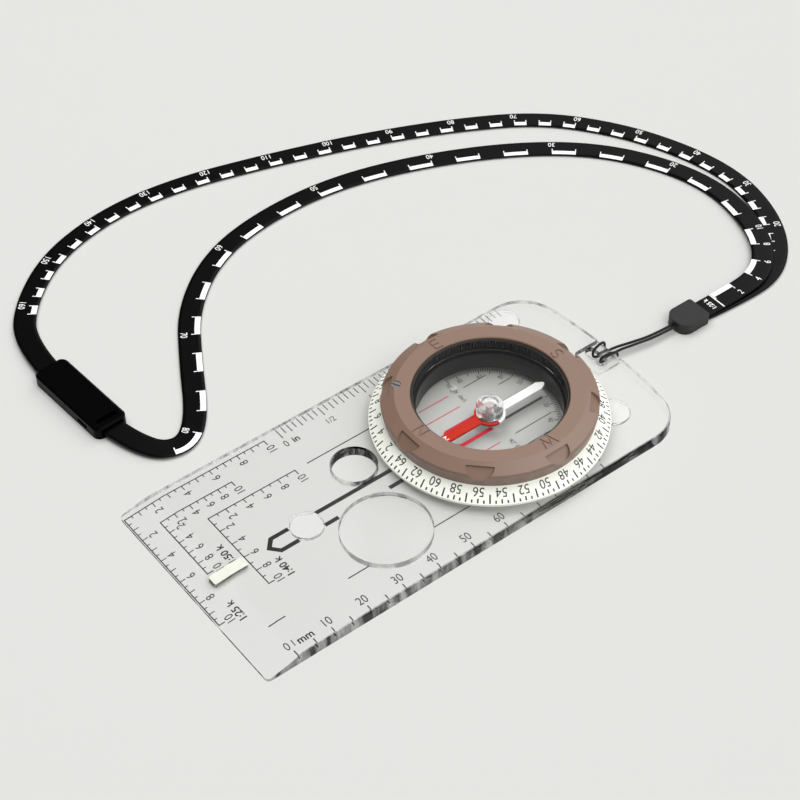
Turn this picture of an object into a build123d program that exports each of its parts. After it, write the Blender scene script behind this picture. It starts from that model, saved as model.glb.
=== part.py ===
from build123d import *
from math import atan2, cos, degrees, hypot, pi, radians, sin, tan
import os

# Baseplate compass. Millimetres. +Y is the direction of travel, +X is the side with the inch scale,
# +Z is up. The origin is on the surface that the compass lies on, under the middle of the baseplate.

# ---- driving dimensions ----
PLATE_WIDTH = 61.0
PLATE_LENGTH = 127.5
PLATE_THICKNESS = 3.0
FOOT_PROUD = 0.4
LANYARD_END_BULGE_R = 143.0
LANYARD_CORNER_R = 11.0
MAP_CORNER_R = 1.2
TOP_EDGE_R = 0.9
BEVEL_LENGTH = 10.15
BEVEL_DROP = 2.3

DIAL_Y = -24.0
RING_R = 29.7
RING_RIM = 0.6
BEZEL_R = 26.2
BEZEL_FLARE = 0.5
BEZEL_TOP_R = 23.3
WINDOW_R = 19.35
RING_HEIGHT = 3.4
BEZEL_HEIGHT = 5.2
RUNNING_GAP = 0.15
GLUE = 0.03
SLIDE_GAP = 0.1

LENS_R = 11.1
LENS_AT = (-12.9, 17.7)
HOLE_R = 5.5
HOLE_AT = (8.0, 11.5)
FOOT_R = 4.1
FEET_AT = {"foot_arrow": (0.0, 31.2), "foot_west": (-16.8, -49.8), "foot_east": (25.4, -49.8)}
STRIP_SIZE = (3.0, 9.2, 1.15)
STRIP_Y = 53.2

NECK_IN_R = 19.95
NECK_OUT_R = 21.0
CLIP_OUT_R = 23.0
CLIP_T = 0.6
GLIDE_R = (24.0, 25.0)

CUP_R = NECK_IN_R - RUNNING_GAP
CUP_FLOOR = (1.0, 2.4)
FLUID_R = 18.0
GEAR_MODULE = 0.4
GEAR_TEETH = 105
PINION_TEETH = 10
SCREW_ANGLE = 45.0
DIMPLES = 8
BAND_RIBS = 120

NEEDLE_HALF_LENGTH = 17.4
NEEDLE_WIDTH = 2.5
NEEDLE_T = 0.6
NEEDLE_Z = 3.8
HUB_R = 3.4
PIN_R = 0.4
PIVOT_FIT = 0.05

CORD_D = 0.7
RIBBON_WIDTH = 6.0
RIBBON_T = 0.7
RIBBON_LOW = 0.5
RIBBON_HIGH = 1.45
RIBBON_IN_BUCKLE = 1.65
FERRULE_SIZE = (7.6, 9.0, 3.2)
FERRULE_AT = (-2.75, -88.1)
BUCKLE_SIZE = (28.2, 9.4, 3.4)
BUCKLE_AT = (70.1, 50.5)
BUCKLE_TURN = 3.7

# ---- places worked out from them ----
PLATE_BOTTOM = FOOT_PROUD
PLATE_TOP = FOOT_PROUD + PLATE_THICKNESS
HALF_LENGTH = PLATE_LENGTH / 2
RING_BOTTOM = PLATE_TOP + SLIDE_GAP
RING_TOP = RING_BOTTOM + RING_HEIGHT
BEZEL_TOP = RING_TOP + BEZEL_HEIGHT
BEZEL_CEILING = RING_TOP + 2.1
GEAR_Z = RING_TOP + SLIDE_GAP
GEAR_TOP = GEAR_Z + 1.6
BAND_TOP = BEZEL_TOP - 0.75
GEAR_PITCH_R = GEAR_MODULE * GEAR_TEETH / 2
PINION_PITCH_R = GEAR_MODULE * PINION_TEETH / 2
SCREW_R = GEAR_PITCH_R + PINION_PITCH_R
LID_SEAT = 7.6
SEAL_T = 0.4
DIAL = Pos(0, DIAL_Y, 0)
NOTCH_Y = -HALF_LENGTH + 0.85
BRIDGE_DEPTH = 2.5
SLOT_DEPTH = 2.8
BRIDGE_BOTTOM = PLATE_TOP - 1.5

# Lanyard routes: the middle of each cord or ribbon, corner by corner.
HITCH_HALF = [
    (-0.70, -65.5, 1.75),
    (-0.90, -62.4, 1.30),
    (-1.30, -59.2, 1.30),
    (-1.60, -59.2, 3.95),
    (-2.50, -64.1, 3.95),
    (-2.40, -64.1, 0.60),
]
HITCH_TAIL_LEFT = [(-3.30, -85.2, 1.65), (-3.20, -77.4, 1.75), (-2.00, -70.6, 1.95)]
HITCH_TAIL_RIGHT = [(-0.90, -70.4, 1.95), (-2.20, -77.0, 1.75), (-2.35, -85.2, 1.65)]
ROUTE_25K = [
    (-2.6, -90.5, RIBBON_HIGH), (-3.1, -103.5, RIBBON_HIGH), (-2.2, -115.5, RIBBON_HIGH),
    (5.4, -124.6, RIBBON_HIGH), (18.2, -130.3, 1.1), (33.0, -132.6, 0.7), (49.2, -128.7, RIBBON_LOW),
    (66.2, -118.5, RIBBON_LOW), (80.5, -101.5, RIBBON_LOW), (92.8, -77.5, RIBBON_LOW),
    (100.5, -52.4, RIBBON_LOW), (101.3, -29.0, RIBBON_LOW), (96.3, -7.3, RIBBON_LOW),
    (82.5, 10.4, RIBBON_LOW), (64.5, 21.4, RIBBON_LOW), (47.2, 30.9, RIBBON_LOW),
    (40.4, 38.8, 0.6), (45.0, 47.3, 1.2), (57.6, 49.8, RIBBON_IN_BUCKLE),
]
ROUTE_50K = [
    (-2.6, -90.5, RIBBON_LOW), (-4.0, -104.5, RIBBON_LOW), (-3.7, -118.0, RIBBON_LOW),
    (3.8, -128.9, RIBBON_LOW), (17.0, -136.8, RIBBON_LOW), (33.0, -140.4, RIBBON_LOW),
    (51.0, -137.4, RIBBON_LOW), (69.9, -129.4, RIBBON_LOW), (88.0, -115.4, RIBBON_LOW),
    (101.0, -93.5, RIBBON_LOW), (112.0, -68.5, RIBBON_LOW), (121.0, -42.0, RIBBON_LOW),
    (128.1, -16.0, RIBBON_LOW), (129.2, 6.2, RIBBON_LOW), (123.4, 27.4, RIBBON_LOW),
    (111.0, 42.8, 0.6), (97.5, 51.2, 1.2), (82.9, 51.4, RIBBON_IN_BUCKLE),
]


def tube_of_revolution(points):
    """Solid of revolution about the dial's axis from (radius, height) corners."""
    profile = make_face(Polyline(*[(r, 0, z) for r, z in points], close=True))
    return DIAL * revolve(profile, Axis.Z)


def washer(inner, outer, bottom, top):
    return tube_of_revolution([(inner, bottom), (outer, bottom), (outer, top), (inner, top)])


def disc(radius, bottom, top, x=0.0, y=0.0):
    return Pos(x, y, (bottom + top) / 2) * Cylinder(radius, top - bottom)


def block(x_range, y_range, z_range):
    size = [high - low for low, high in (x_range, y_range, z_range)]
    middle = [(high + low) / 2 for low, high in (x_range, y_range, z_range)]
    return Pos(*middle) * Box(*size)


def dome_height(edge_r, edge_z, top_z, r):
    """Height at radius r of a spherical cap centred on the axis."""
    rise = top_z - edge_z
    sphere_r = (edge_r ** 2 + rise ** 2) / (2 * rise)
    return top_z - sphere_r + (sphere_r ** 2 - r ** 2) ** 0.5


def dome_arc(edge_r, edge_z, top_z):
    """Arc from a cap's edge to its top, in the XZ plane."""
    middle = (edge_r / 2, 0, dome_height(edge_r, edge_z, top_z, edge_r / 2))
    return ThreePointArc((edge_r, 0, edge_z), middle, (0, 0, top_z))


def rounded_block(size, middle, radius):
    """Upright box with rounded vertical edges; middle is (x, y, bottom z)."""
    body = Pos(*middle) * extrude(RectangleRounded(size[0], size[1], radius), size[2])
    return body


# ---- baseplate ----
def plate_outline():
    end_curve = Pos(0, LANYARD_END_BULGE_R - HALF_LENGTH) * Circle(LANYARD_END_BULGE_R)
    outline = Rectangle(PLATE_WIDTH, PLATE_LENGTH) & end_curve
    corners = outline.vertices().sort_by(Axis.Y)
    outline = fillet(corners[:2], LANYARD_CORNER_R)
    corners = outline.vertices().sort_by(Axis.Y)
    return fillet(corners[-2:], MAP_CORNER_R)


def map_end_bevel():
    """Wedge that thins the plate towards its map end."""
    start = HALF_LENGTH - BEVEL_LENGTH
    section = make_face(Polyline(
        (0, start, PLATE_TOP),
        (0, HALF_LENGTH + 1, PLATE_TOP),
        (0, HALF_LENGTH + 1, PLATE_TOP - BEVEL_DROP * (BEVEL_LENGTH + 1) / BEVEL_LENGTH),
        close=True,
    ))
    return extrude(section, PLATE_WIDTH, both=True)


def lanyard_cut():
    """Pocket under the bridge, the slot inside it and the notch outside it."""
    slot_high = NOTCH_Y + BRIDGE_DEPTH + SLOT_DEPTH
    pocket = rounded_block((9.6, 14.0, BRIDGE_BOTTOM), (0, slot_high + 2.3 - 7.0, 0), 1.5)
    slot_middle = (0, slot_high - SLOT_DEPTH / 2, 0)
    slot = rounded_block((6.8, SLOT_DEPTH, PLATE_TOP + 1), slot_middle, 1.2)
    notch = rounded_block((9.6, 4.0, PLATE_TOP + 1), (0, NOTCH_Y - 2.0, 0), 0.8)
    return [pocket, slot, notch]


def baseplate():
    plate = Pos(0, 0, PLATE_BOTTOM) * extrude(plate_outline(), PLATE_THICKNESS)
    plate = fillet(plate.faces().sort_by(Axis.Z)[-1].edges(), TOP_EDGE_R)
    plate -= map_end_bevel()
    for cut in lanyard_cut():
        plate -= cut
    plate -= disc(NECK_OUT_R + RUNNING_GAP, 0, PLATE_TOP + 1, 0, DIAL_Y)
    plate -= disc(CLIP_OUT_R + 0.5, 0, PLATE_BOTTOM + CLIP_T + 0.35, 0, DIAL_Y)
    plate -= washer(*GLIDE_R, PLATE_TOP - 0.5, PLATE_TOP + 1)
    plate -= disc(LENS_R + GLUE, 0, PLATE_TOP + 1, *LENS_AT)
    plate -= disc(HOLE_R, 0, PLATE_TOP + 1, *HOLE_AT)
    rims = plate.edges().filter_by(GeomType.CIRCLE).filter_by(lambda e: abs(e.radius - HOLE_R) < 1e-3)
    plate = chamfer(rims, 0.35)
    plate -= rounded_block((*STRIP_SIZE[:2], PLATE_BOTTOM + STRIP_SIZE[2] + 0.05), (0, STRIP_Y, 0), 0.6)
    for x, y in FEET_AT.values():
        plate -= disc(FOOT_R + GLUE, 0, PLATE_BOTTOM + 1.2 + GLUE, x, y)
    return plate


def magnifier_lens():
    """Plano-convex lens, a little proud of the plate's top."""
    edge = LENS_R - 0.5
    section = make_face([
        Polyline((0, 0, 0.9), (LENS_R, 0, 0.9), (LENS_R, 0, PLATE_TOP), (edge, 0, PLATE_TOP)),
        dome_arc(edge, PLATE_TOP, PLATE_TOP + 1.1),
        Line((0, 0, PLATE_TOP + 1.1), (0, 0, 0.9)),
    ])
    return Pos(*LENS_AT, 0) * revolve(section, Axis.Z)


def luminous_strip():
    return rounded_block(STRIP_SIZE, (0, STRIP_Y, PLATE_BOTTOM + 0.05), 0.6)


def foot(x, y):
    pad = disc(FOOT_R, 0, PLATE_BOTTOM + 1.2, x, y)
    return chamfer(pad.edges().sort_by(Axis.Z)[:1], 0.15)


def glide_ring():
    return washer(*GLIDE_R, PLATE_TOP - 0.5, PLATE_TOP + 0.04)


# ---- dial ----
def graduated_ring():
    """Conical scale ring with the neck that turns in the plate."""
    groove = 0.6
    ring = tube_of_revolution([
        (NECK_IN_R, PLATE_BOTTOM + 0.1),
        (NECK_OUT_R, PLATE_BOTTOM + 0.1),
        (NECK_OUT_R, RING_BOTTOM),
        (RING_R, RING_BOTTOM),
        (RING_R, RING_BOTTOM + RING_RIM),
        (BEZEL_R, RING_TOP),
        (NECK_IN_R, RING_TOP),
    ])
    ring -= washer(NECK_OUT_R - groove, NECK_OUT_R + 1, PLATE_BOTTOM + 0.25, PLATE_BOTTOM + 0.25 + CLIP_T)
    ring -= disc(0.75, RING_TOP - 0.7, RING_TOP + 1, *screw_place())
    return ring


def retaining_clip():
    bottom = PLATE_BOTTOM + 0.25
    return washer(NECK_OUT_R - 0.57, CLIP_OUT_R, bottom, bottom + CLIP_T)


def dimple(angle):
    """D-shaped finger scoop in the bezel's sloping shoulder."""
    half, straight, reach = 3.4, 0.6, 3.5
    outline = make_face([
        Polyline((straight, half), (0, half), (0, -half), (straight, -half)),
        ThreePointArc((straight, -half), (reach, 0), (straight, half)),
    ])
    tool = Pos(BEZEL_TOP_R + 0.7, 0, BEZEL_TOP - 0.9) * Rot(0, 40, 0) * extrude(outline, 5)
    return DIAL * Rot(0, 0, angle) * tool


def engraving(corners, middle, turn):
    """Letter cut into the bezel's top as a line of one width through its corners."""
    width, depth = 0.42, 0.25
    cut = None
    for (x0, y0), (x1, y1) in zip(corners, corners[1:]):
        long = hypot(x1 - x0, y1 - y0)
        bar = Pos((x0 + x1) / 2, (y0 + y1) / 2) * Rot(0, 0, degrees(atan2(y1 - y0, x1 - x0)))
        bar = bar * Rectangle(long, width) + Pos(x0, y0) * Circle(width / 2) + Pos(x1, y1) * Circle(width / 2)
        cut = bar if cut is None else cut + bar
    place = DIAL * Rot(0, 0, turn) * Pos(0, middle, BEZEL_TOP - depth)
    return place * extrude(cut, 1)


def letters():
    """N, E, S and W, each with its top outwards."""
    n = [(-1.1, -1.5), (-1.1, 1.5), (1.1, -1.5), (1.1, 1.5)]
    e = [(1.0, -1.5), (-0.9, -1.5), (-0.9, 0), (0.8, 0), (-0.9, 0), (-0.9, 1.5), (1.0, 1.5)]
    w = [(-1.9, 1.5), (-1.0, -1.5), (0, 1.3), (1.0, -1.5), (1.9, 1.5)]
    s = []
    for k in range(8):
        turn = radians(20 + k * 250 / 7)
        s.append((0.95 * cos(turn), 0.75 + 0.75 * sin(turn)))
    s += [(-x, -y) for x, y in reversed(s[:-1])]
    return [(n, 0), (e, -90), (s, 180), (w, 90)]


def screw_place():
    turn = radians(SCREW_ANGLE)
    return SCREW_R * cos(turn), DIAL_Y + SCREW_R * sin(turn)


def bezel():
    wall = BEZEL_R - 1.0
    body = tube_of_revolution([
        (wall, RING_TOP),
        (BEZEL_R, RING_TOP),
        (BEZEL_R + BEZEL_FLARE, BEZEL_TOP - 2.3),
        (BEZEL_R + BEZEL_FLARE - 0.25, BEZEL_TOP - 1.6),
        (BEZEL_TOP_R, BEZEL_TOP),
        (WINDOW_R + 0.2, BEZEL_TOP),
        (WINDOW_R, BEZEL_TOP - 0.2),
        (WINDOW_R, BEZEL_CEILING),
        (wall, BEZEL_CEILING),
    ])
    for k in range(DIMPLES):
        body -= dimple(k * 360 / DIMPLES)
    for corners, turn in letters():
        body -= engraving(corners, (WINDOW_R + BEZEL_TOP_R) / 2, turn)
    x, y = screw_place()
    body -= disc(2.6, RING_TOP - 1, BEZEL_CEILING, x, y)
    body -= disc(0.8, BEZEL_CEILING - 1, BEZEL_TOP + 1, x, y)
    body -= disc(1.25, BEZEL_TOP - 0.95, BEZEL_TOP + 1, x, y)
    return body


# ---- declination screw and gear ----
def gear_face(teeth, first_tooth, rise=0.28, fall=0.42):
    """Spur gear outline: straight-sided teeth with backlash, a tooth centred on first_tooth degrees."""
    root_share = 0.34
    tip_share = 0.14
    pitch_r = GEAR_MODULE * teeth / 2
    pitch = 2 * pi * pitch_r / teeth
    points = []
    for k in range(teeth):
        middle = radians(first_tooth) + 2 * pi * k / teeth
        flanks = [
            (pitch_r - fall, -root_share),
            (pitch_r + rise, -tip_share),
            (pitch_r + rise, tip_share),
            (pitch_r - fall, root_share),
        ]
        for r, share in flanks:
            turn = middle + share * pitch / pitch_r
            points.append((r * cos(turn), r * sin(turn)))
    return make_face(Polyline(*points, close=True))


def declination_pinion():
    x, y = screw_place()
    gear = extrude(gear_face(PINION_TEETH, SCREW_ANGLE + 180), GEAR_TOP - GEAR_Z)
    gear -= Cylinder(0.7, 10)
    return Pos(x, y, GEAR_Z) * gear


def declination_screw():
    x, y = screw_place()
    head_top = BEZEL_TOP - 0.15
    screw = disc(0.7, RING_TOP - 0.55, head_top, x, y)
    screw += disc(1.15, BEZEL_TOP - 0.9, head_top, x, y)
    slot = Pos(x, y, head_top) * Rot(0, 0, SCREW_ANGLE - 20) * Box(3, 0.4, 0.8)
    return screw - slot


# ---- capsule ----
def capsule_gear_ring():
    """Black ring: fluid wall, external gear and the ribbed band seen inside the bezel."""
    band_in = 18.85
    wall = tube_of_revolution([
        (FLUID_R, CUP_FLOOR[1] + 0.2),
        (19.0, CUP_FLOOR[1] + 0.2),
        (19.0, GEAR_Z),
        (20.3, GEAR_Z),
        (20.3, GEAR_TOP),
        (WINDOW_R - 0.2, GEAR_TOP),
        (WINDOW_R - 0.2, BAND_TOP),
        (band_in, BAND_TOP),
        (band_in, LID_SEAT + 1.15),
        (18.65, LID_SEAT + 1.15),
        (18.65, LID_SEAT - SEAL_T),
        (FLUID_R, LID_SEAT - SEAL_T),
    ])
    half_pitch = 180 / GEAR_TEETH
    teeth = extrude(gear_face(GEAR_TEETH, SCREW_ANGLE + half_pitch), GEAR_TOP - GEAR_Z)
    teeth -= Cylinder(20.3, 20)
    return wall + DIAL * Pos(0, 0, GEAR_Z) * teeth


def capsule_base():
    """Clear cup: flat floor and a wall outside the black ring."""
    cup = tube_of_revolution([
        (0, CUP_FLOOR[0]),
        (CUP_R, CUP_FLOOR[0]),
        (CUP_R, RING_TOP - 0.2),
        (19.03, RING_TOP - 0.2),
        (19.03, CUP_FLOOR[1]),
        (0, CUP_FLOOR[1]),
    ])
    cup -= disc(PIN_R + 0.2, CUP_FLOOR[0] + 0.3, CUP_FLOOR[1] + 1, 0, DIAL_Y)
    cup -= disc(0.9, 0, CUP_FLOOR[1] + 1, 14.0, DIAL_Y)
    return cup


def declination_disc():
    return washer(PIN_R + 0.3, FLUID_R + 0.9, CUP_FLOOR[1] + GLUE, CUP_FLOOR[1] + 0.2)


def filler_plug():
    return disc(0.9, CUP_FLOOR[0] + 0.1, CUP_FLOOR[1], 14.0, DIAL_Y)


def capsule_seal():
    return washer(FLUID_R + 0.1, 18.65, LID_SEAT - SEAL_T, LID_SEAT)


def capsule_lid():
    """Clear domed cover."""
    rim_in = 17.6
    rim_top = LID_SEAT + 1.1
    inside_top = LID_SEAT + 1.9
    outside_top = LID_SEAT + 2.9
    section = make_face([
        Polyline((rim_in, 0, LID_SEAT), (18.6, 0, LID_SEAT), (18.6, 0, rim_top), (18.1, 0, rim_top)),
        dome_arc(18.1, rim_top, outside_top),
        Line((0, 0, outside_top), (0, 0, inside_top)),
        dome_arc(rim_in, LID_SEAT, inside_top),
    ])
    return DIAL * revolve(section, Axis.Z)


def pivot_pin():
    tip = NEEDLE_Z + 2.9
    return tube_of_revolution([
        (0, CUP_FLOOR[0] + 0.3),
        (PIN_R + 0.2, CUP_FLOOR[0] + 0.3),
        (PIN_R + 0.2, CUP_FLOOR[1] + 0.2),
        (PIN_R, CUP_FLOOR[1] + 0.4),
        (PIN_R, tip - 0.5),
        (0.1, tip),
        (0, tip),
    ])


# ---- needle ----
def needle_half(side):
    """One coloured half: a bar with a pointed end and half of the collar round the hub."""
    half = NEEDLE_WIDTH / 2
    bar = make_face(Polyline(
        (-half, 0),
        (half, 0),
        (half, NEEDLE_HALF_LENGTH - 1.6),
        (0.35, NEEDLE_HALF_LENGTH),
        (-0.35, NEEDLE_HALF_LENGTH),
        (-half, NEEDLE_HALF_LENGTH - 1.6),
        close=True,
    ))
    upper = Pos(0, 15) * Rectangle(30, 30)
    collar = Circle(HUB_R + 0.5) & upper
    shape = bar + collar - Circle(HUB_R - 1.0)
    solid = extrude(shape, NEEDLE_T)
    return DIAL * Pos(0, 0, NEEDLE_Z) * Rot(0, 0, 0 if side == "north" else 180) * solid


def needle_magnet():
    bar = Box(1.8, 28.0, 0.4) - Cylinder(PIN_R + 0.15, 2)
    return DIAL * Pos(0, 0, NEEDLE_Z - 0.2) * bar


def needle_hub():
    """Clear cap over the pivot, with a spigot in the collar and a bore for the jewel."""
    spigot_r = HUB_R - 1.0
    collar_top = NEEDLE_Z + NEEDLE_T
    return tube_of_revolution([
        (1.05, NEEDLE_Z),
        (spigot_r, NEEDLE_Z),
        (spigot_r, collar_top),
        (HUB_R, collar_top),
        (HUB_R, collar_top + 3.2),
        (HUB_R - 0.5, collar_top + 3.7),
        (2.3, collar_top + 3.8),
        (1.9, collar_top + 3.4),
        (0, collar_top + 3.4),
        (0, NEEDLE_Z + 3.5),
        (1.05, NEEDLE_Z + 3.5),
    ])


def needle_jewel():
    """Cup bearing that sits on the pin."""
    return tube_of_revolution([
        (PIN_R + PIVOT_FIT, NEEDLE_Z + 2.2),
        (1.05, NEEDLE_Z + 2.2),
        (1.05, NEEDLE_Z + 3.5),
        (0, NEEDLE_Z + 3.5),
        (0, NEEDLE_Z + 2.95),
        (PIN_R + PIVOT_FIT, NEEDLE_Z + 2.95),
    ])


# ---- lanyard ----
def corner_radii(route):
    """Radius at each corner: 0.45 of the shorter run over the tangent of half the turn."""
    radii = []
    for before, here, after in zip(route, route[1:], route[2:]):
        run_in = Vector(here) - Vector(before)
        run_out = Vector(after) - Vector(here)
        turn = run_in.get_angle(run_out)
        radii.append(0.45 * min(run_in.length, run_out.length) / tan(radians(turn) / 2))
    return radii


def routed_path(route, name):
    radii = corner_radii(route)
    path = FilletPolyline(*route, radius=radii)
    print(f"{name}: length {path.length:.1f} mm, corner radii", [round(r, 1) for r in radii])
    return path


def hitch_route():
    """Two strands from the ferrule, hitched round the plate's bridge."""
    far_half = [(-x, y, z) for x, y, z in reversed(HITCH_HALF)]
    return HITCH_TAIL_LEFT + HITCH_HALF + far_half + HITCH_TAIL_RIGHT


def hitch_cord():
    path = routed_path(hitch_route(), "hitch_cord")
    section = Plane(origin=path @ 0, z_dir=path % 0) * Circle(CORD_D / 2)
    cord = sweep(section, path)
    print(f"  volume {cord.volume:.2f} against {pi * CORD_D ** 2 / 4 * path.length:.2f}")
    return cord


def ribbon(route, name):
    """Flat ribbon lying level along its route."""
    path = routed_path(route, name)
    frame = Plane(origin=path @ 0, x_dir=(0, 0, 1), z_dir=path % 0)
    strap = sweep(frame * Rectangle(RIBBON_T, RIBBON_WIDTH), path)
    print(f"  volume {strap.volume:.1f} against {RIBBON_T * RIBBON_WIDTH * path.length:.1f}")
    return strap


def ferrule_half(bottom, top, inside):
    """Moulded clamp half, rounded at its cord end, with room for what it grips."""
    width, length, _ = FERRULE_SIZE
    outline = Rectangle(width, length)
    outline = fillet(outline.vertices().sort_by(Axis.Y)[-2:], 2.8)
    outline = fillet(outline.vertices().sort_by(Axis.Y)[:2], 0.7)
    half = Pos(*FERRULE_AT, bottom) * extrude(outline, top - bottom)
    for piece in inside:
        half -= piece
    return half


def buckle_place():
    return Pos(*BUCKLE_AT, 0) * Rot(0, 0, BUCKLE_TURN)


def buckle_shell(low, high):
    """Length of the buckle's rounded case, from low to high along it."""
    length, width, height = BUCKLE_SIZE
    case = rounded_block((length, width, height), (0, 0, 0), 2.0)
    case = chamfer(case.faces().sort_by(Axis.Z)[-1].edges(), 0.5)
    return case & block((low, high), (-width, width), (0, height))


def buckle_socket(inside):
    """Half with the strap slot, the side window and the chamber for the plug's tongue."""
    length, width, height = BUCKLE_SIZE
    half = buckle_shell(-length / 2, -SLIDE_GAP / 2)
    half -= block((-7.0, 1), (-2.6, 2.6), (0.75, 2.65))
    half -= rounded_block((1.6, 6.0, height + 1), (-length / 2 + 2.6, 0, height - 1.3), 0.7)
    half -= block((-9.5, -5.5), (width / 2 - 0.9, width), (0.9, 2.0))
    half -= block((-length / 2 - 1, -length / 2 + 1.0), (-3.3, 3.3), (0.5, 2.7))
    half = buckle_place() * half
    for piece in inside:
        half -= piece
    return half


def buckle_plug(inside):
    """Half with the tongue that pulls out of the socket under load."""
    length, _, _ = BUCKLE_SIZE
    half = buckle_shell(SLIDE_GAP / 2, length / 2)
    half += block((-6.5, 0.5), (-2.5, 2.5), (0.85, 2.55))
    half = buckle_place() * half
    for piece in inside:
        half -= piece
    return half


def build_parts():
    """Every piece by node name."""
    cord = hitch_cord()
    ribbon_25k = ribbon(ROUTE_25K, "ribbon_25k")
    ribbon_50k = ribbon(ROUTE_50K, "ribbon_50k")
    split = FERRULE_SIZE[2] / 2 + 0.05
    parts = {
        "baseplate": baseplate(),
        "magnifier_lens": magnifier_lens(),
        "luminous_strip": luminous_strip(),
        "glide_ring": glide_ring(),
        "graduated_ring": graduated_ring(),
        "bezel": bezel(),
        "retaining_clip": retaining_clip(),
        "declination_screw": declination_screw(),
        "declination_pinion": declination_pinion(),
        "capsule_base": capsule_base(),
        "capsule_gear_ring": capsule_gear_ring(),
        "capsule_lid": capsule_lid(),
        "capsule_seal": capsule_seal(),
        "declination_disc": declination_disc(),
        "filler_plug": filler_plug(),
        "pivot_pin": pivot_pin(),
        "needle_north": needle_half("north"),
        "needle_south": needle_half("south"),
        "needle_magnet": needle_magnet(),
        "needle_hub": needle_hub(),
        "needle_jewel": needle_jewel(),
        "hitch_cord": cord,
        "ribbon_25k": ribbon_25k,
        "ribbon_50k": ribbon_50k,
        "ferrule_base": ferrule_half(0, split, (ribbon_25k, ribbon_50k, cord)),
        "ferrule_cap": ferrule_half(split, FERRULE_SIZE[2], (ribbon_25k, cord)),
        "buckle_socket": buckle_socket([ribbon_25k]),
        "buckle_plug": buckle_plug([ribbon_50k]),
    }
    for name, (x, y) in FEET_AT.items():
        parts[name] = foot(x, y)
    return parts


os.makedirs("parts", exist_ok=True)
for node, solid in build_parts().items():
    export_step(solid, f"parts/{node}.step")
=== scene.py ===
import math
from bisect import bisect_right

import bmesh
import bpy
from mathutils import Matrix, Vector


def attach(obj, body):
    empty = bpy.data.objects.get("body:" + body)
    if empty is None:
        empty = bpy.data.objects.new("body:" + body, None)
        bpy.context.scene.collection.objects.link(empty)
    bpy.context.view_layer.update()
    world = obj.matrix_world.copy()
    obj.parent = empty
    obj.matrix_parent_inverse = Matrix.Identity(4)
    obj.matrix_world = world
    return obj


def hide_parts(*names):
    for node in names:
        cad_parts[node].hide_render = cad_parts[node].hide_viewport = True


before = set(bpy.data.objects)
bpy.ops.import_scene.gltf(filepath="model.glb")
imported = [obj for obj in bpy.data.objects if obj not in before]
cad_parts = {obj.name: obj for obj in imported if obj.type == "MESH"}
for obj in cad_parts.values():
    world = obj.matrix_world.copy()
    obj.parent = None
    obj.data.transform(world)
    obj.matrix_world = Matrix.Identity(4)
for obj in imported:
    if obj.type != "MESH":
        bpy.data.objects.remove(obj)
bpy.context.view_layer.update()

# Baseplate compass. Sizes in this file are in millimetres unless they say otherwise. +Y is the
# direction of travel, +X is the side with the inch scale, +Z is up, and the table is at z = 0.
MM = 0.001

# ---- the compass ----
PLATE_HALF_WIDTH = 30.5
PLATE_BOTTOM = 0.4
DIAL_Y = -24.0
# Radius and height of the graduated ring's outer and inner edges.
RING_RIM = (29.7, 4.1)
RING_INNER = (26.2, 6.9)
DISC_TOP = 2.6
NEEDLE_TOP = 4.4
BAND_INSIDE_R = 18.85
BAND_RIBS = 150
RIBS_FROM_TO_Z = (8.75, 11.2)
PRINT_T = 0.03
THIN_PRINT_T = 0.02
# Small step in height that keeps print from lying exactly in a surface.
SHIM = 0.01

# ---- the lanyard: route corners of each cord or ribbon ----
RIBBON_LOW = 0.5
RIBBON_HIGH = 1.45
RIBBON_IN_BUCKLE = 1.65
RIBBON_WIDTH = 6.0
RIBBON_T = 0.66
CORD_D = 0.7
HITCH_HALF = [
    (-0.70, -65.5, 1.75), (-0.90, -62.4, 1.30), (-1.30, -59.2, 1.30),
    (-1.60, -59.2, 3.95), (-2.50, -64.1, 3.95), (-2.40, -64.1, 0.60),
]
HITCH_TAIL_LEFT = [(-3.30, -85.2, 1.65), (-3.20, -77.4, 1.75), (-2.00, -70.6, 1.95)]
HITCH_TAIL_RIGHT = [(-0.90, -70.4, 1.95), (-2.20, -77.0, 1.75), (-2.35, -85.2, 1.65)]
ROUTE_25K = [
    (-2.6, -90.5, RIBBON_HIGH), (-3.1, -103.5, RIBBON_HIGH), (-2.2, -115.5, RIBBON_HIGH),
    (5.4, -124.6, RIBBON_HIGH), (18.2, -130.3, 1.1), (33.0, -132.6, 0.7), (49.2, -128.7, RIBBON_LOW),
    (66.2, -118.5, RIBBON_LOW), (80.5, -101.5, RIBBON_LOW), (92.8, -77.5, RIBBON_LOW),
    (100.5, -52.4, RIBBON_LOW), (101.3, -29.0, RIBBON_LOW), (96.3, -7.3, RIBBON_LOW),
    (82.5, 10.4, RIBBON_LOW), (64.5, 21.4, RIBBON_LOW), (47.2, 30.9, RIBBON_LOW),
    (40.4, 38.8, 0.6), (45.0, 47.3, 1.2), (57.6, 49.8, RIBBON_IN_BUCKLE),
]
ROUTE_50K = [
    (-2.6, -90.5, RIBBON_LOW), (-4.0, -104.5, RIBBON_LOW), (-3.7, -118.0, RIBBON_LOW),
    (3.8, -128.9, RIBBON_LOW), (17.0, -136.8, RIBBON_LOW), (33.0, -140.4, RIBBON_LOW),
    (51.0, -137.4, RIBBON_LOW), (69.9, -129.4, RIBBON_LOW), (88.0, -115.4, RIBBON_LOW),
    (101.0, -93.5, RIBBON_LOW), (112.0, -68.5, RIBBON_LOW), (121.0, -42.0, RIBBON_LOW),
    (128.1, -16.0, RIBBON_LOW), (129.2, 6.2, RIBBON_LOW), (123.4, 27.4, RIBBON_LOW),
    (111.0, 42.8, 0.6), (97.5, 51.2, 1.2), (82.9, 51.4, RIBBON_IN_BUCKLE),
]


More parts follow.
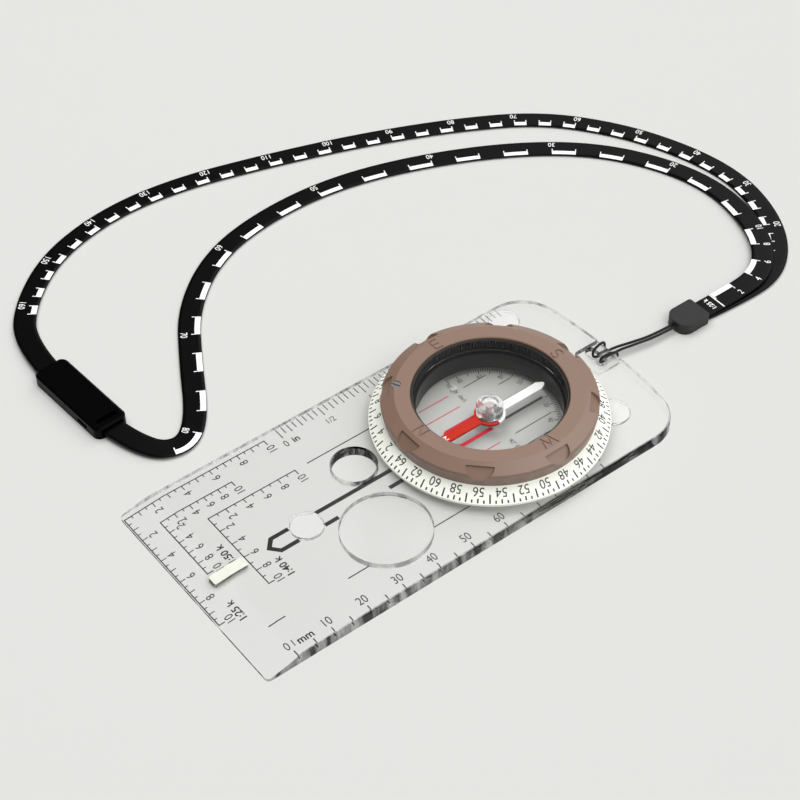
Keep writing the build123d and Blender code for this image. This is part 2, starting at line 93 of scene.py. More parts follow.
# ---- camera, floor and light, in metres ----
CAMERA_AT = (-0.251707, 0.191842, 0.338707)
CAMERA_BACK = (-0.56766, 0.42527, 0.70491)
CAMERA_UP = (0.55119, -0.43968, 0.70913)
CAMERA_FOCAL_MM = 86.5
CAMERA_SENSOR_MM = 36.0
FLOOR_HALF = 3.0
FLOOR_DROP = 0.00004
FLOOR_COLOUR = (0.560, 0.564, 0.546)
BRIGHT_SIDE = (-0.62, -0.78, 0.0)


def make_camera():
    cam = bpy.data.cameras.new("camera")
    cam.lens = CAMERA_FOCAL_MM
    cam.sensor_width = CAMERA_SENSOR_MM
    cam.clip_start = 0.01
    obj = bpy.data.objects.new("camera", cam)
    bpy.context.scene.collection.objects.link(obj)
    back = Vector(CAMERA_BACK).normalized()
    right = Vector(CAMERA_UP).cross(back).normalized()
    up = back.cross(right)
    turn = Matrix((right, up, back)).transposed().to_4x4()
    obj.matrix_world = Matrix.Translation(CAMERA_AT) @ turn
    bpy.context.scene.camera = obj


def area_light(name, at, look_at, size, power):
    """Round lamp that isn't seen in reflections or through clear pieces."""
    light = bpy.data.lights.new(name, "AREA")
    light.shape = "DISK"
    light.size = size
    light.energy = power
    obj = bpy.data.objects.new(name, light)
    bpy.context.scene.collection.objects.link(obj)
    obj.location = at
    obj.rotation_euler = (Vector(look_at) - Vector(at)).to_track_quat("-Z", "Y").to_euler()
    obj.visible_glossy = False
    obj.visible_transmission = False


def make_floor():
    mesh = bpy.data.meshes.new("floor")
    corners = [(-FLOOR_HALF, -FLOOR_HALF, 0), (FLOOR_HALF, -FLOOR_HALF, 0),
               (FLOOR_HALF, FLOOR_HALF, 0), (-FLOOR_HALF, FLOOR_HALF, 0)]
    mesh.from_pydata(corners, [], [(0, 1, 2, 3)])
    floor = bpy.data.objects.new("floor", mesh)
    bpy.context.scene.collection.objects.link(floor)
    floor.location.z = -FLOOR_DROP
    mesh.materials.append(plain_material("floor_pale", FLOOR_COLOUR, roughness=0.9))


def make_world():
    """Studio sky: dark at the horizon, white overhead and brighter on one side."""
    world = bpy.data.worlds.new("studio")
    bpy.context.scene.world = world
    world.use_nodes = True
    tree = world.node_tree
    sky = tree.nodes["Background"]
    sky.inputs["Strength"].default_value = 0.44
    place = tree.nodes.new("ShaderNodeTexCoord")
    split = tree.nodes.new("ShaderNodeSeparateXYZ")
    tree.links.new(place.outputs["Generated"], split.inputs[0])
    ramp = tree.nodes.new("ShaderNodeValToRGB")
    dark, bright = ramp.color_ramp.elements
    dark.position = 0.58
    dark.color = (0.10, 0.10, 0.10, 1)
    bright.position = 0.80
    bright.color = (1.0, 1.0, 1.0, 1)
    tree.links.new(spread(tree, split.outputs["Z"], 0.0, 1.0, within=(-1.0, 1.0)), ramp.inputs[0])
    side = tree.nodes.new("ShaderNodeVectorMath")
    side.operation = "DOT_PRODUCT"
    side.inputs[1].default_value = BRIGHT_SIDE
    tree.links.new(place.outputs["Generated"], side.inputs[0])
    gain = tree.nodes.new("ShaderNodeVectorMath")
    gain.operation = "SCALE"
    tree.links.new(ramp.outputs[0], gain.inputs[0])
    tree.links.new(spread(tree, side.outputs["Value"], 0.06, 2.9, within=(-0.12, 0.22)),
                   gain.inputs["Scale"])
    tree.links.new(gain.outputs[0], sky.inputs["Color"])


def make_stage():
    make_floor()
    make_world()
    area_light("overhead", (0.55, 0.10, 1.60), (0.03, -0.03, 0), 1.4, 21.0)
    area_light("softbox", (0.36, -0.78, 0.70), (0.03, -0.06, 0), 0.50, 1.2)
    area_light("front", (-0.75, -0.05, 1.30), (0.0, -0.02, 0), 1.0, 7.0)


# ---- material nodes: lengths in metres, and texture scales per metre ----
def fresh(name):
    mat = bpy.data.materials.new(name)
    mat.use_nodes = True
    return mat, mat.node_tree, mat.node_tree.nodes["Principled BSDF"]


def object_coords(tree, scale=(1, 1, 1)):
    coords = tree.nodes.new("ShaderNodeTexCoord")
    mapping = tree.nodes.new("ShaderNodeMapping")
    mapping.inputs["Scale"].default_value = scale
    tree.links.new(coords.outputs["Object"], mapping.inputs["Vector"])
    return mapping.outputs["Vector"]


def noise(tree, vector, scale, detail=3.0):
    node = tree.nodes.new("ShaderNodeTexNoise")
    node.inputs["Scale"].default_value = scale
    node.inputs["Detail"].default_value = detail
    tree.links.new(vector, node.inputs["Vector"])
    return node.outputs["Fac"]


def spread(tree, value, low, high, within=(0.0, 1.0)):
    """Value from the range within, moved to the range from low to high."""
    node = tree.nodes.new("ShaderNodeMapRange")
    node.inputs["From Min"].default_value = within[0]
    node.inputs["From Max"].default_value = within[1]
    node.inputs["To Min"].default_value = low
    node.inputs["To Max"].default_value = high
    tree.links.new(value, node.inputs["Value"])
    return node.outputs[0]


def arithmetic(tree, operation, *values):
    """Result of an operation on sockets."""
    node = tree.nodes.new("ShaderNodeMath")
    node.operation = operation
    for value, socket in zip(values, node.inputs):
        tree.links.new(value, socket)
    return node.outputs[0]


def bump(tree, bsdf, height, strength, distance):
    node = tree.nodes.new("ShaderNodeBump")
    node.inputs["Strength"].default_value = strength
    node.inputs["Distance"].default_value = distance
    tree.links.new(height, node.inputs["Height"])
    tree.links.new(node.outputs[0], bsdf.inputs["Normal"])


def tint(tree, value, low, high):
    """Colour between low and high by value."""
    node = tree.nodes.new("ShaderNodeMix")
    node.data_type = "RGBA"
    node.inputs["A"].default_value = (*low, 1)
    node.inputs["B"].default_value = (*high, 1)
    tree.links.new(value, node.inputs["Factor"])
    return node.outputs["Result"]


# ---- materials ----
def plain_material(name, colour, roughness):
    mat, _, bsdf = fresh(name)
    bsdf.inputs["Base Color"].default_value = (*colour, 1)
    bsdf.inputs["Roughness"].default_value = roughness
    return mat


def moulded(name, colour, roughness, grain=900.0, depth=0.00002, specular=0.5, vary=0.10):
    """Moulded plastic: slight colour and gloss variation, fine surface grain."""
    mat, tree, bsdf = fresh(name)
    vector = object_coords(tree)
    low = [c * (1 - vary) for c in colour]
    high = [min(1.0, c * (1 + vary)) for c in colour]
    tree.links.new(tint(tree, noise(tree, vector, 60.0), low, high), bsdf.inputs["Base Color"])
    tree.links.new(spread(tree, noise(tree, vector, 400.0), roughness - 0.08, roughness + 0.08),
                   bsdf.inputs["Roughness"])
    bsdf.inputs["Specular IOR Level"].default_value = specular
    bump(tree, bsdf, noise(tree, vector, grain, 2.0), 0.25, depth)
    return mat


def clear_plastic(name, ior, colour=(1, 1, 1)):
    """Clear plastic that refracts."""
    mat, tree, bsdf = fresh(name)
    bsdf.inputs["Base Color"].default_value = (*colour, 1)
    bsdf.inputs["Transmission Weight"].default_value = 1.0
    bsdf.inputs["IOR"].default_value = ior
    gloss = noise(tree, object_coords(tree), 150.0)
    tree.links.new(spread(tree, gloss, 0.0, 0.002), bsdf.inputs["Roughness"])
    return mat


def cut_acrylic(name):
    """Clear acrylic whose cut edges are wavy and partly see-through; the see-through share carries painted
    grey and white streaks, a painted reflection of dark surroundings seen in the edges.
    """
    mat = clear_plastic(name, ior=1.49)
    tree = mat.node_tree
    bsdf = tree.nodes["Principled BSDF"]
    facing = tree.nodes.new("ShaderNodeNewGeometry")
    split = tree.nodes.new("ShaderNodeSeparateXYZ")
    tree.links.new(facing.outputs["True Normal"], split.inputs[0])
    upright = arithmetic(tree, "ABSOLUTE", split.outputs["Z"])
    on_edge = spread(tree, upright, 0.0, 1.0, within=(0.97, 0.80))
    waves = noise(tree, object_coords(tree, (1, 1, 0.15)), 260.0, 4.0)
    bump(tree, bsdf, arithmetic(tree, "MULTIPLY", waves, on_edge), 1.0, 0.0006)
    # Painted reflection: dark and light streaks that stand in for the surroundings seen in the cut edges.
    painted_edge_streaks = spread(tree, waves, 0.0, 1.0, within=(0.42, 0.58))
    painted_streak_pass = tree.nodes.new("ShaderNodeBsdfTransparent")
    tree.links.new(tint(tree, painted_edge_streaks, (0.08, 0.08, 0.08), (0.85, 0.85, 0.85)), painted_streak_pass.inputs["Color"])
    mix = tree.nodes.new("ShaderNodeMixShader")
    tree.links.new(spread(tree, on_edge, 0.0, 0.60), mix.inputs[0])
    tree.links.new(bsdf.outputs[0], mix.inputs[1])
    tree.links.new(painted_streak_pass.outputs[0], mix.inputs[2])
    tree.links.new(mix.outputs[0], tree.nodes["Material Output"].inputs["Surface"])
    return mat


def frosted(name, colour, clear):
    """Silicone or soft plastic with a slight haze, see-through by the share clear."""
    mat, tree, bsdf = fresh(name)
    vector = object_coords(tree)
    low = [c * 0.93 for c in colour]
    tree.links.new(tint(tree, noise(tree, vector, 500.0), low, colour), bsdf.inputs["Base Color"])
    tree.links.new(spread(tree, noise(tree, vector, 800.0), 0.04, 0.12), bsdf.inputs["Roughness"])
    bsdf.inputs["Transmission Weight"].default_value = clear
    bsdf.inputs["IOR"].default_value = 1.41
    bump(tree, bsdf, noise(tree, vector, 1500.0), 0.2, 0.00002)
    return mat


def brushed(name, colour, roughness):
    """Metal with fine scratches along one direction."""
    mat, tree, bsdf = fresh(name)
    bsdf.inputs["Metallic"].default_value = 1.0
    vector = object_coords(tree, (1, 12, 1))
    low = [c * 0.8 for c in colour]
    tree.links.new(tint(tree, noise(tree, vector, 900.0), low, colour), bsdf.inputs["Base Color"])
    tree.links.new(spread(tree, noise(tree, vector, 1200.0), roughness * 0.7, roughness * 1.3),
                   bsdf.inputs["Roughness"])
    return mat


def webbing(name, colour):
    """Tight woven ribbon: fine threads and a low sheen."""
    mat, tree, bsdf = fresh(name)
    vector = object_coords(tree)
    threads = tree.nodes.new("ShaderNodeTexVoronoi")
    threads.inputs["Scale"].default_value = 2600.0
    tree.links.new(vector, threads.inputs["Vector"])
    height = threads.outputs["Distance"]
    high = [c * 1.9 for c in colour]
    tree.links.new(tint(tree, height, colour, high), bsdf.inputs["Base Color"])
    tree.links.new(spread(tree, noise(tree, vector, 300.0), 0.32, 0.45), bsdf.inputs["Roughness"])
    bsdf.inputs["Specular IOR Level"].default_value = 0.18
    bump(tree, bsdf, height, 0.25, 0.00006)
    return mat


def braid(name, colour):
    """Braided cord: diagonal strands."""
    mat, tree, bsdf = fresh(name)
    waves = tree.nodes.new("ShaderNodeTexWave")
    waves.wave_type = "BANDS"
    waves.bands_direction = "DIAGONAL"
    waves.inputs["Scale"].default_value = 900.0
    waves.inputs["Distortion"].default_value = 1.5
    tree.links.new(object_coords(tree), waves.inputs["Vector"])
    high = [c * 2.2 for c in colour]
    tree.links.new(tint(tree, waves.outputs["Fac"], colour, high), bsdf.inputs["Base Color"])
    bsdf.inputs["Roughness"].default_value = 0.6
    bump(tree, bsdf, waves.outputs["Fac"], 0.5, 0.00008)
    return mat


MAT = {}


def make_materials():
    fine = {"grain": 1500.0, "depth": 0.00001}
    MAT["acrylic"] = cut_acrylic("acrylic_clear")
    MAT["lens"] = cut_acrylic("acrylic_lens")
    # The capsule's slight grey tint is partly the liquid's own tone and partly painted shade of the interior
    # under the bezel and gear ring.
    MAT["capsule"] = clear_plastic("capsule_clear", ior=1.12, colour=(0.93, 0.93, 0.925))
    MAT["hub"] = frosted("hub_pale", (0.90, 0.90, 0.90), clear=0.8)
    MAT["strip"] = frosted("glow_strip", (0.84, 0.85, 0.77), clear=0.35)
    MAT["foot"] = frosted("silicone_clear", (0.97, 0.97, 0.97), clear=0.85)
    MAT["glow"] = moulded("glow_cream", (0.97, 0.98, 0.89), 0.4, grain=1200.0, depth=0.00001, vary=0.02)
    MAT["acetal"] = moulded("acetal_white", (0.75, 0.75, 0.73), 0.4, vary=0.03)
    MAT["bezel"] = moulded("bezel_taupe", (0.215, 0.135, 0.100), 0.38, grain=1400.0, depth=0.000012,
                           specular=0.9, vary=0.03)
    MAT["black"] = moulded("plastic_black", (0.030, 0.031, 0.031), 0.38, specular=0.4, **fine)
    MAT["buckle"] = moulded("buckle_black", (0.0015, 0.0015, 0.0015), 0.30, specular=0.05, **fine)
    MAT["grey"] = moulded("ferrule_grey", (0.028, 0.028, 0.028), 0.5, specular=0.3, **fine)
    MAT["rubber"] = moulded("seal_rubber", (0.02, 0.02, 0.02), 0.7)
    MAT["steel"] = brushed("steel_bright", (0.68, 0.68, 0.68), 0.28)
    MAT["magnet"] = brushed("steel_magnet", (0.35, 0.35, 0.37), 0.45)
    MAT["jewel"] = moulded("jewel_pale", (0.62, 0.50, 0.50), 0.2)
    MAT["plug"] = moulded("plug_pale", (0.60, 0.60, 0.59), 0.6)
    MAT["red"] = moulded("needle_red", (0.50, 0.026, 0.012), 0.35, specular=0.2, vary=0.04)
    MAT["white"] = moulded("needle_white", (0.88, 0.88, 0.87), 0.3, vary=0.02)
    MAT["ribbon"] = webbing("ribbon_black", (0.0010, 0.0010, 0.0010))
    MAT["cord"] = braid("cord_black", (0.005, 0.005, 0.005))
    MAT["ink"] = moulded("ink_black", (0.012, 0.012, 0.013), 0.5, vary=0.2)
    MAT["ink_grey"] = moulded("ink_grey", (0.045, 0.045, 0.047), 0.5)
    MAT["ink_red"] = moulded("ink_red", (0.50, 0.02, 0.04), 0.5)
    MAT["ink_white"] = moulded("ink_white", (0.86, 0.86, 0.85), 0.5, vary=0.03)


LIGHT_PASSES = ("acrylic", "lens", "capsule", "hub", "foot", "ink", "ink_red", "ink_grey", "plug")
NODE_MATERIAL = {
    "baseplate": "acrylic", "magnifier_lens": "lens", "luminous_strip": "strip",
    "foot_arrow": "foot", "foot_west": "foot", "foot_east": "foot", "glide_ring": "acetal",
    "graduated_ring": "glow", "bezel": "bezel", "retaining_clip": "acetal",
    "declination_screw": "steel", "declination_pinion": "acetal",
    "capsule_base": "capsule", "capsule_gear_ring": "black", "capsule_lid": "capsule",
    "capsule_seal": "rubber", "declination_disc": "capsule", "filler_plug": "plug",
    "pivot_pin": "steel", "needle_north": "red", "needle_south": "white",
    "needle_magnet": "magnet", "needle_hub": "hub", "needle_jewel": "jewel",
    "ferrule_base": "grey", "ferrule_cap": "grey", "buckle_socket": "buckle", "buckle_plug": "buckle",
}


def see_through(obj, material):
    """Lets light through clear pieces and the print on them, so that what is under them is lit evenly."""
    obj.visible_shadow = material not in LIGHT_PASSES
    obj.visible_diffuse = material not in LIGHT_PASSES


def dress_nodes():
    for node, key in NODE_MATERIAL.items():
        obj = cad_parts[node]
        obj.data.materials.clear()
        obj.data.materials.append(MAT[key])
        see_through(obj, key)


# ---- pieces ----
def piece(name, verts, faces, material, body, smooth=False):
    """A mesh piece from points in millimetres."""
    mesh = bpy.data.meshes.new(name)
    mesh.from_pydata([tuple(c * MM for c in v) for v in verts], [], faces)
    mesh.update()
    built = bmesh.new()
    built.from_mesh(mesh)
    bmesh.ops.remove_doubles(built, verts=built.verts, dist=1e-7)
    bmesh.ops.recalc_face_normals(built, faces=built.faces)
    built.to_mesh(mesh)
    built.free()
    for face in mesh.polygons:
        face.use_smooth = smooth
    mesh.materials.append(MAT[material])
    obj = bpy.data.objects.new(name, mesh)
    see_through(obj, material)
    bpy.context.scene.collection.objects.link(obj)
    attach(obj, body)
    return obj


CAPITAL_HEIGHT = 0.729
BOLD_OFFSET = 0.020
GLYPHS = {}


def glyphs(text, bold=False):
    """Flat letter shapes, centred, with capitals 1 high: points and faces."""
    if (text, bold) in GLYPHS:
        return GLYPHS[text, bold]
    curve = bpy.data.curves.new("letters", "FONT")
    curve.body = text
    curve.align_x = "CENTER"
    curve.resolution_u = 4
    curve.offset = BOLD_OFFSET if bold else 0.0
    obj = bpy.data.objects.new("letters", curve)
    bpy.context.scene.collection.objects.link(obj)
    bpy.context.view_layer.update()
    mesh = bpy.data.meshes.new_from_object(obj)
    built = bmesh.new()
    built.from_mesh(mesh)
    bmesh.ops.remove_doubles(built, verts=built.verts, dist=1e-5)
    built.verts.index_update()
    points = [(v.co.x / CAPITAL_HEIGHT, v.co.y / CAPITAL_HEIGHT - 0.5) for v in built.verts]
    faces = [tuple(v.index for v in f.verts) for f in built.faces]
    built.free()
    bpy.data.objects.remove(obj)
    bpy.data.curves.remove(curve)
    bpy.data.meshes.remove(mesh)
    GLYPHS[text, bold] = (points, faces)
    return GLYPHS[text, bold]


def strip_faces(steps):
    """Faces of a strip whose points go left, right, left, right along it."""
    return [(2 * k, 2 * k + 1, 2 * k + 3, 2 * k + 2) for k in range(steps)]


class Ink:
    """Thin printed marks laid out in (u, v) and put on a surface by place(u, v, lift)."""

    def __init__(self, place, thickness=PRINT_T):
        self.place = place
        self.thickness = thickness
        self.verts = []
        self.faces = []

    def add(self, points, faces):
        """Closes a flat shape into a thin solid: its faces below and above, and a wall round its edge."""
        base = len(self.verts)
        count = len(points)
        self.verts += [self.place(u, v, 0.0) for u, v in points]
        self.verts += [self.place(u, v, self.thickness) for u, v in points]
        edges = set()
        for face in faces:
            self.faces.append(tuple(base + i for i in reversed(face)))
            self.faces.append(tuple(base + count + i for i in face))
            edges.update(zip(face, face[1:] + face[:1]))
        for a, b in sorted(edges):
            if (b, a) not in edges:
                self.faces.append((base + a, base + b, base + count + b, base + count + a))

    def bar(self, start, end, width, steps=1):
        """Straight mark from start to end."""
        du, dv = end[0] - start[0], end[1] - start[1]
        size = math.hypot(du, dv)
        nu, nv = -dv / size * width / 2, du / size * width / 2
        points = []
        for k in range(steps + 1):
            u, v = start[0] + du * k / steps, start[1] + dv * k / steps
            points += [(u + nu, v + nv), (u - nu, v - nv)]
        self.add(points, strip_faces(steps))

    def stroke(self, corners, width):
        """Line through corners with mitred joins."""
        sharpest = 0.3
        dirs = [(Vector(b) - Vector(a)).normalized() for a, b in zip(corners, corners[1:])]
        points = []
        for (u, v), d_in, d_out in zip(corners, dirs[:1] + dirs, dirs + dirs[-1:]):
            along = (d_in + d_out).normalized()
            normal = Vector((-along.y, along.x))
            half = width / 2 / max(sharpest, normal.dot(Vector((-d_in.y, d_in.x))))
            points += [(u + normal.x * half, v + normal.y * half), (u - normal.x * half, v - normal.y * half)]
        self.add(points, strip_faces(len(dirs)))

    def text(self, words, at, height, turn=0.0, narrow=0.82, bold=False):
        """Letters centred at a place, turned by an angle in degrees."""
        points, faces = glyphs(words, bold)
        c, s = math.cos(math.radians(turn)), math.sin(math.radians(turn))
        placed = []
        for u, v in points:
            u, v = u * height * narrow, v * height
            placed.append((at[0] + u * c - v * s, at[1] + u * s + v * c))
        self.add(placed, faces)

    def make(self, name, material, body, slot):
        return piece(name, self.verts, self.faces, material, body)


# ---- lanyard ----
def nurbs(name, points):
    """Smooth curve object led by the points."""
    curve = bpy.data.curves.new(name, "CURVE")
    curve.dimensions = "3D"
    spline = curve.splines.new("NURBS")
    spline.points.add(len(points) - 1)
    for slot, point in zip(spline.points, points):
        slot.co = (*[c * MM for c in point], 1)
    spline.order_u = 3
    spline.use_endpoint_u = True
    spline.resolution_u = 12
    obj = bpy.data.objects.new(name, curve)
    bpy.context.scene.collection.objects.link(obj)
    return obj


def read_line(obj):
    """Points along a curve object with no bevel, in metres."""
    bpy.context.view_layer.update()
    mesh = bpy.data.meshes.new_from_object(obj)
    line = [v.co.copy() for v in mesh.vertices]
    bpy.data.meshes.remove(mesh)
    return line


class Track:
    """Places points along and across a ribbon: u is the distance along, v to the left of its middle."""

    def __init__(self, line):
        self.line = [p / MM for p in line]
        self.reach = [0.0]
        for a, b in zip(self.line, self.line[1:]):
            self.reach.append(self.reach[-1] + (b - a).length)
        ahead = self.line[1:] + self.line[-1:]
        painted_streak_pass = self.line[:1] + self.line[:-1]
        self.dirs = [(a - b).normalized() for a, b in zip(ahead, painted_streak_pass)]

    def at(self, u, v, lift):
        u = min(max(u, 0.0), self.reach[-1] - 1e-6)
        high = bisect_right(self.reach, u)
        low = high - 1
        share = (u - self.reach[low]) / (self.reach[high] - self.reach[low])
        middle = self.line[low].lerp(self.line[high], share)
        ahead = self.dirs[low].lerp(self.dirs[high], share)
        left = Vector((-ahead.y, ahead.x, 0)).normalized()
        return tuple(middle + left * v + Vector((0, 0, lift)))


def ribbon_profile():
    """Cross-section corners (across, up) of a woven ribbon with soft edges."""
    half, thick = RIBBON_WIDTH / 2, RIBBON_T / 2
    soft, flat = 0.22, 0.9
    top = [(-half, -thick + soft), (-half, thick - soft), (-half + soft, thick)]
    top += [(-half + flat, thick), (0, thick), (half - flat, thick)]
    top += [(half - soft, thick), (half, thick - soft), (half, -thick + soft)]
    return top + [(half - soft, -thick), (0, -thick), (-half + soft, -thick)]


def make_ribbon(name, route, node):
    """Sweeps the ribbon's section along its route; gives the track that its print lies on."""
    guide = nurbs(name + "_guide", route)
    line = read_line(guide)
    bpy.data.objects.remove(guide)
    track = Track(line)
    profile = ribbon_profile()
    count = len(profile)
    verts, faces = [], []
    for k, u in enumerate(track.reach):
        verts += [track.at(u, v, w) for v, w in profile]
        if k:
            for i in range(count):
                j = (i + 1) % count
                faces.append(((k - 1) * count + i, (k - 1) * count + j, k * count + j, k * count + i))
    faces.append(tuple(range(count)))
    faces.append(tuple(reversed(range(len(verts) - count, len(verts)))))
    strap = piece(name, verts, faces, "ribbon", "plate", smooth=True)
    for end in strap.data.polygons[-2:]:
        end.use_smooth = False
    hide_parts(node)
    return track


def make_hitch_cord():
    """Thin cord from the ferrule, hitched round the plate's bridge and back."""
    far_half = [(-x, y, z) for x, y, z in reversed(HITCH_HALF)]
    cord = nurbs("hitch_cord_line", HITCH_TAIL_LEFT + HITCH_HALF + far_half + HITCH_TAIL_RIGHT)
    line = read_line(cord)
    cord.data.bevel_depth = CORD_D / 2 * MM
    cord.data.bevel_resolution = 4
    cord.data.use_fill_caps = True
    cord.data.materials.append(MAT["cord"])
    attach(cord, "plate")
    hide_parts("hitch_cord")


def print_ribbon(track, start, unit, last, small=()):
    """White blocks two units long with ticks at their ends, and numbers every ten units."""
    block_width, block_step = 1.5, 1.2
    tick_width, tick_length = 0.26, 0.9
    number_v, number_height = -1.35, 1.9
    lift = RIBBON_T / 2 - SHIM
    ink = Ink(lambda u, v, w: track.at(u, v, lift + w), 0.035)
    outer = RIBBON_WIDTH / 2 - 0.12
    inner = outer - block_width
    middle = (outer + inner) / 2
    for value in range(0, last - 1, 4):
        low, high = start + value * unit, start + (value + 2) * unit
        steps = max(2, round((high - low) / block_step))
        ink.bar((low, middle), (high, middle), block_width, steps=steps)
        for u in (low + tick_width / 2, high - tick_width / 2):
            ink.bar((u, inner + 0.1), (u, inner - tick_length), tick_width)
    for number in [*small, *range(20, last + 1, 10)]:
        ink.text(str(number), (start + number * unit, number_v), number_height, narrow=0.80)
    return ink


def make_lanyard():
    make_hitch_cord()
    upper = make_ribbon("ribbon_25k_strap", ROUTE_25K, "ribbon_25k")
    lower = make_ribbon("ribbon_50k_strap", ROUTE_50K, "ribbon_50k")
    ink = print_ribbon(upper, start=8.5, unit=3.514, last=82, small=(2, 4, 6, 8, 10))
    ink.bar((8.2, -2.9), (8.2, 2.9), 0.35)
    ink.text("1:25 k", (5.8, 0.0), 1.35, turn=90, narrow=0.95, bold=True)
    ink.make("ribbon_25k_print", "ink_white", "plate", "black_webbing")
    ink = print_ribbon(lower, start=11.7, unit=1.835, last=162)
    ink.make("ribbon_50k_print", "ink_white", "plate", "black_webbing")


# ---- printing on the plate, on its underside ----
def under_plate(u, v, w):
    return (u, v, PLATE_BOTTOM - 0.04 + w)


def print_map_corner(ink, corner, unit, ticks, title, title_at, number_drop):
    """L-shaped map scale: two legs from a corner, with ticks and even numbers."""
    line, end, label = 0.24, 1.6, 2.3
    x0, y0 = corner
    reach = 10 * unit
    ink.stroke([(x0 - end, y0 - reach), (x0, y0 - reach), (x0, y0), (x0 - reach, y0),
                (x0 - reach, y0 - end)], 0.28)
    for k in range(1, ticks):
        far = k * reach / ticks
        size = 1.5 if k % 2 == 0 else 0.85
        ink.bar((x0 - 0.1, y0 - far), (x0 - size, y0 - far), line)
        ink.bar((x0 - far, y0 - 0.1), (x0 - far, y0 - size), line)
    for value in range(2, 11, 2):
        far = value * unit
        wide = 0.5 if value == 10 else 0.0
        ink.text(str(value), (x0 - 2.95 - wide, y0 - far), label)
        ink.text(str(value), (x0 - far - 0.1, y0 - number_drop), label)
    ink.text(title, title_at, 1.95, narrow=1.0, bold=True)


def print_millimetres(ink):
    """Scale along the -X edge: a tick every 5 mm and a number every 10 mm."""
    zero_y, step, last = 54.3, 5, 90
    outer, inner, number_x = 1.2 - PLATE_HALF_WIDTH, 3.0 - PLATE_HALF_WIDTH, 5.1 - PLATE_HALF_WIDTH
    for value in range(0, last + 1, step):
        y = zero_y - value
        ink.bar((outer, y), (inner, y), 0.3)
        if value % 10 == 0 and value:
            ink.text(str(value), (number_x, y), 2.45, turn=-90)
    ink.text("0", (-25.5, 54.9), 2.4, turn=-90)
    ink.bar((-24.7, 53.2), (-26.6, 53.2), 0.22)
    ink.text("mm", (-25.9, 50.4), 2.05, turn=-90, narrow=1.0, bold=True)


def print_inches(ink):
    """Scale along the +X edge: a tick every sixteenth of an inch and a number every half inch."""
    zero_y, end_y, inch = 18.93, -52.0, 25.4
    outer, number_x = PLATE_HALF_WIDTH - 0.15, 24.9
    half_tick, even_tick, odd_tick = 3.3, 2.8, 2.3
    for k in range(int((zero_y - end_y) / inch * 16) + 1):
        y = zero_y - inch / 16 * k
        size = half_tick if k % 8 == 0 else (even_tick if k % 2 == 0 else odd_tick)
        ink.bar((outer, y), (outer - size, y), 0.26)
        if k % 16 == 0 and k:
            ink.text(str(k // 16), (number_x, y), 2.2, turn=-90)
        elif k % 8 == 0 and k:
            ink.text("1/2", (number_x, y), 1.8, turn=-90, narrow=0.9)
    ink.text("0", (25.1, 19.4), 2.2, turn=-90)
    ink.text("in", (25.1, 16.6), 2.0, turn=-90, narrow=1.0, bold=True)


def print_direction_lines(ink):
    """Lines along the plate, to be laid along a map's grid."""
    for x, high, low in ((16.5, 19.3, 0.5), (-18.55, 54.9, 50.5), (-18.55, 33.0, 26.8), (-18.55, 8.0, -2.9)):
        ink.bar((x, high), (x, low), 0.3)


def print_direction_arrow(ink):
    """Direction-of-travel arrow: two bars, parted by the foot and the lens, and an open head."""
    x, wide, near_dial = 2.2, 1.15, 3.0
    ink.bar((x, 27.2), (x, near_dial), wide)
    ink.bar((-x, 27.6), (-x, 23.6), wide)
    ink.bar((-x, 8.6), (-x, near_dial), wide)
    ink.stroke([(x, 35.0), (x, 40.0), (0.0, 41.9), (-x, 40.0), (-x, 35.0)], wide)


def print_plate():
    ink = Ink(under_plate)
    print_map_corner(ink, (29.12, 63.2), 4.0, 20, "1:25 k", (-10.2, 57.9), 2.9)
    print_map_corner(ink, (22.8, 57.0), 2.0, 10, "1:50 k", (4.7, 50.9), 3.0)
    print_map_corner(ink, (16.5, 47.95), 2.5, 10, "1:40 k", (-6.6, 42.3), 2.8)
    print_millimetres(ink)
    print_inches(ink)
    print_direction_lines(ink)
    print_direction_arrow(ink)
    ink.make("plate_print", "ink", "plate", "clear_acrylic")


# ---- printing on the dial ----
CONE_RUN = RING_RIM[0] - RING_INNER[0]
CONE_DROP = RING_RIM[1] - RING_INNER[1]
CONE_SLOPE = math.hypot(CONE_RUN, CONE_DROP)


def on_cone(angle, out, lift):
    """Point on the graduated ring: angle in degrees clockwise from +Y, out from the bezel's foot."""
    r = RING_INNER[0] + (CONE_RUN * out - CONE_DROP * lift) / CONE_SLOPE
    z = RING_INNER[1] + (CONE_DROP * out + CONE_RUN * lift) / CONE_SLOPE
    turn = math.radians(90 - angle)
    return (r * math.cos(turn), DIAL_Y + r * math.sin(turn), z)


def print_ring():
    """Mil scale: a tick every 50 mils, and every 200 mils a number in hundreds."""
    degrees_per_mm = math.degrees(1 / 27.8)
    outer = CONE_SLOPE - 0.28
    tick_lengths = (1.05, 0.75, 2.15, 0.75)
    ticks, numbers = 128, 32
    ink = Ink(lambda u, v, w: on_cone(u * degrees_per_mm, v, w - SHIM / 2))
    for k in range(ticks):
        u = k * 360 / ticks / degrees_per_mm
        ink.bar((u, outer), (u, outer - tick_lengths[k % 4]), 0.36)
    for k in range(numbers):
        number = str(2 * k if k else 64)
        ink.text(number, (k * 360 / numbers / degrees_per_mm, outer - 2.55), 2.35, narrow=0.92)
    ink.make("ring_print", "ink", "dial", "glow_plastic")


# ---- printing in the capsule and on the needle ----
def on_disc(u, v, w):
    return (u, DIAL_Y + v, DISC_TOP + SHIM + w)


def print_meridians(red, black):
    """North lines: red halves to the north, black halves to the south."""
    red_from, red_r, black_r = 3.0, 17.4, 15.4
    for x, black_from in ((-12.4, -1.8), (-7.8, -1.8), (7.8, -9.4), (12.4, -1.8)):
        red.bar((x, red_from), (x, math.sqrt(red_r ** 2 - x ** 2)), 0.26)
        black.bar((x, black_from), (x, -math.sqrt(black_r ** 2 - x ** 2)), 0.24)


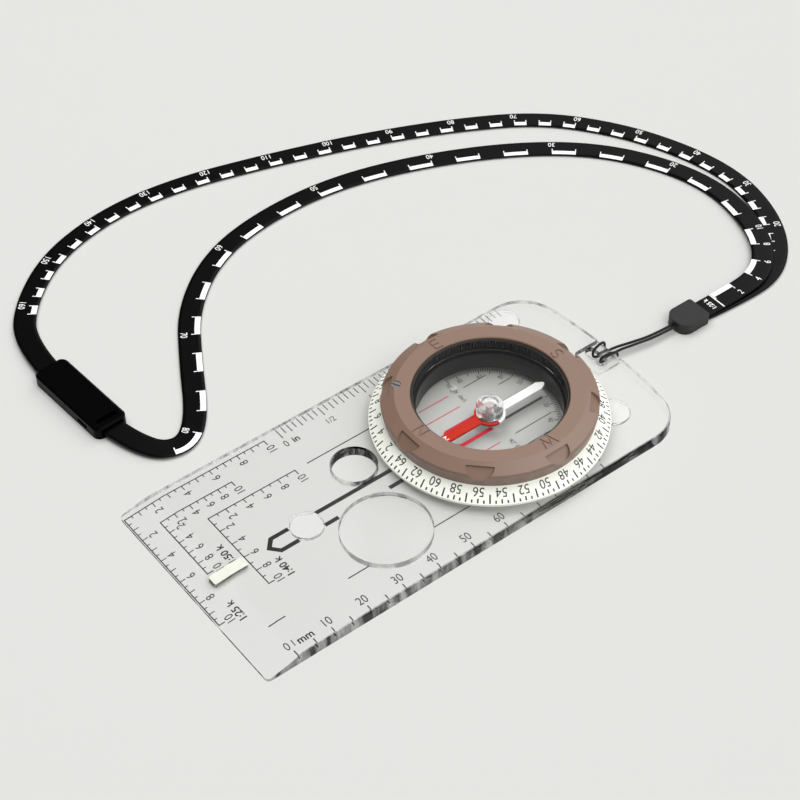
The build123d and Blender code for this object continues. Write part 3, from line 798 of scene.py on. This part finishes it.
def print_orienting_arrow(red, black):
    """Red open head to the north and two black bars to the south."""
    for side in (1, -1):
        black.bar((2.35 * side, -3.0), (2.35 * side, -15.0), 0.75)
    red.stroke([(-2.9, 1.5), (-2.9, 11.2), (0, 15.0), (2.9, 11.2), (2.9, 1.5)], 1.05)


def print_declination_scale(ink):
    """Ticks every two degrees to 90 on both sides of south, and numbers every twenty."""
    tick_r, number_r = 17.7, 15.0
    for value in range(0, 91, 2):
        inner = tick_r - (1.9 if value % 10 == 0 else 1.05)
        for side in (1, -1):
            turn = math.radians(-90 + side * value)
            u, v = math.cos(turn), math.sin(turn)
            ink.bar((tick_r * u, tick_r * v), (inner * u, inner * v), 0.22)
            if value in (20, 40, 60, 80):
                ink.text(str(value), (number_r * u, number_r * v), 1.35, turn=side * value - 180)
    ink.text("90° W. decl.", (12.0, 0.6), 1.3, turn=180, narrow=0.86)
    ink.text("90° E. decl.", (-12.0, 0.6), 1.3, turn=180, narrow=0.86)


def print_disc():
    red = Ink(on_disc, THIN_PRINT_T)
    black = Ink(on_disc, THIN_PRINT_T)
    print_meridians(red, black)
    print_orienting_arrow(red, black)
    print_declination_scale(black)
    red.make("disc_print_red", "ink_red", "capsule", "clear_acrylic")
    black.make("disc_print_black", "ink_grey", "capsule", "clear_acrylic")


def mark_needle():
    ink = Ink(lambda u, v, w: (u, DIAL_Y + v, NEEDLE_TOP - SHIM + w))
    ink.text("N", (0.0, 13.9), 1.5, narrow=1.0, bold=True)
    ink.make("needle_letter", "ink_white", "needle", "needle_white")


def make_band_ribs():
    """Fine upright ribs on the black band inside the bezel."""
    root_r = BAND_INSIDE_R + 0.02
    tip_r = BAND_INSIDE_R - 0.23
    half = math.pi / BAND_RIBS * 0.5
    verts, faces = [], []
    for k in range(BAND_RIBS):
        middle = 2 * math.pi * k / BAND_RIBS
        base = len(verts)
        for z in RIBS_FROM_TO_Z:
            for turn, r in ((middle - half, root_r), (middle, tip_r), (middle + half, root_r)):
                verts.append((r * math.cos(turn), DIAL_Y + r * math.sin(turn), z))
        faces += [(base, base + 1, base + 4, base + 3), (base + 1, base + 2, base + 5, base + 4)]
        faces += [(base + 2, base, base + 3, base + 5), (base, base + 2, base + 1),
                  (base + 3, base + 4, base + 5)]
    piece("band_ribs", verts, faces, "black", "capsule")


bpy.context.scene.view_settings.view_transform = "Standard"
make_camera()
make_materials()
make_stage()
make_lanyard()
dress_nodes()
print_plate()
print_ring()
print_disc()
mark_needle()
make_band_ribs()
